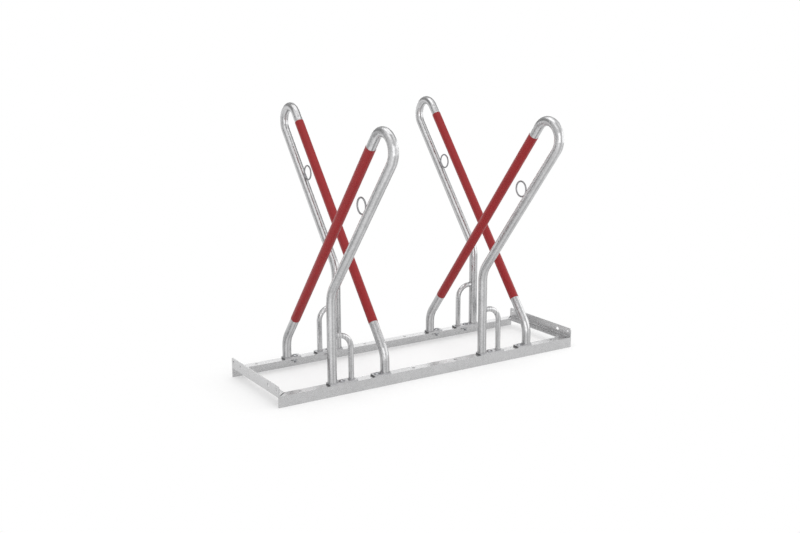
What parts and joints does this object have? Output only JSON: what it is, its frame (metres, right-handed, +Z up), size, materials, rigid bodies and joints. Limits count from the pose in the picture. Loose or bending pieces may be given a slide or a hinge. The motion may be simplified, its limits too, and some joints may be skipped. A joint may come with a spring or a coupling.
{
  "type": "double-sided bike rack",
  "caption": "Free-standing street bike rack: hoops with red sleeves lean out over both long sides of a steel angle frame, with wheel guides and lock rings.",
  "frame": {"origin": "on the ground, in the middle of the frame", "axes": "+X along the long rails, +Y from the front towards the rear side, +Z up"},
  "size_m": [1.3, 1.211, 0.969],
  "materials": {
    "zinc_rail": "hot-dip galvanised, dull",
    "zinc_tube": "hot-dip galvanised, half gloss",
    "zinc_wire": "hot-dip galvanised wire",
    "zinc_plate": "hot-dip galvanised, dull",
    "zinc_fastener": "galvanised fasteners",
    "red_sleeve": "satin red plastic"
  },
  "bodies": {
    "root": {"front_rail": "zinc_rail", "rear_rail": "zinc_rail", "left_cross_rail": "zinc_rail", "right_cross_rail": "zinc_rail", "hoop_front_left": "zinc_tube", "hoop_front_right": "zinc_tube", "hoop_rear_left": "zinc_tube", "hoop_rear_right": "zinc_tube", "sleeve_front_left": "red_sleeve", "sleeve_front_right": "red_sleeve", "sleeve_rear_left": "red_sleeve", "sleeve_rear_right": "red_sleeve", "lock_ring_front_left": "zinc_wire", "lock_ring_front_right": "zinc_wire", "lock_ring_rear_left": "zinc_wire", "lock_ring_rear_right": "zinc_wire", "wheel_guide_front_left": "zinc_tube", "wheel_guide_front_right": "zinc_tube", "wheel_guide_rear_left": "zinc_tube", "wheel_guide_rear_right": "zinc_tube", "long_plate_front_left": "zinc_plate", "long_plate_front_right": "zinc_plate", "long_plate_rear_left": "zinc_plate", "long_plate_rear_right": "zinc_plate", "short_plate_front_left": "zinc_plate", "short_plate_front_right": "zinc_plate", "short_plate_rear_left": "zinc_plate", "short_plate_rear_right": "zinc_plate", "foot_bolts": "zinc_fastener", "foot_washers": "zinc_fastener", "foot_nuts": "zinc_fastener"}
  },
  "joints": []
}
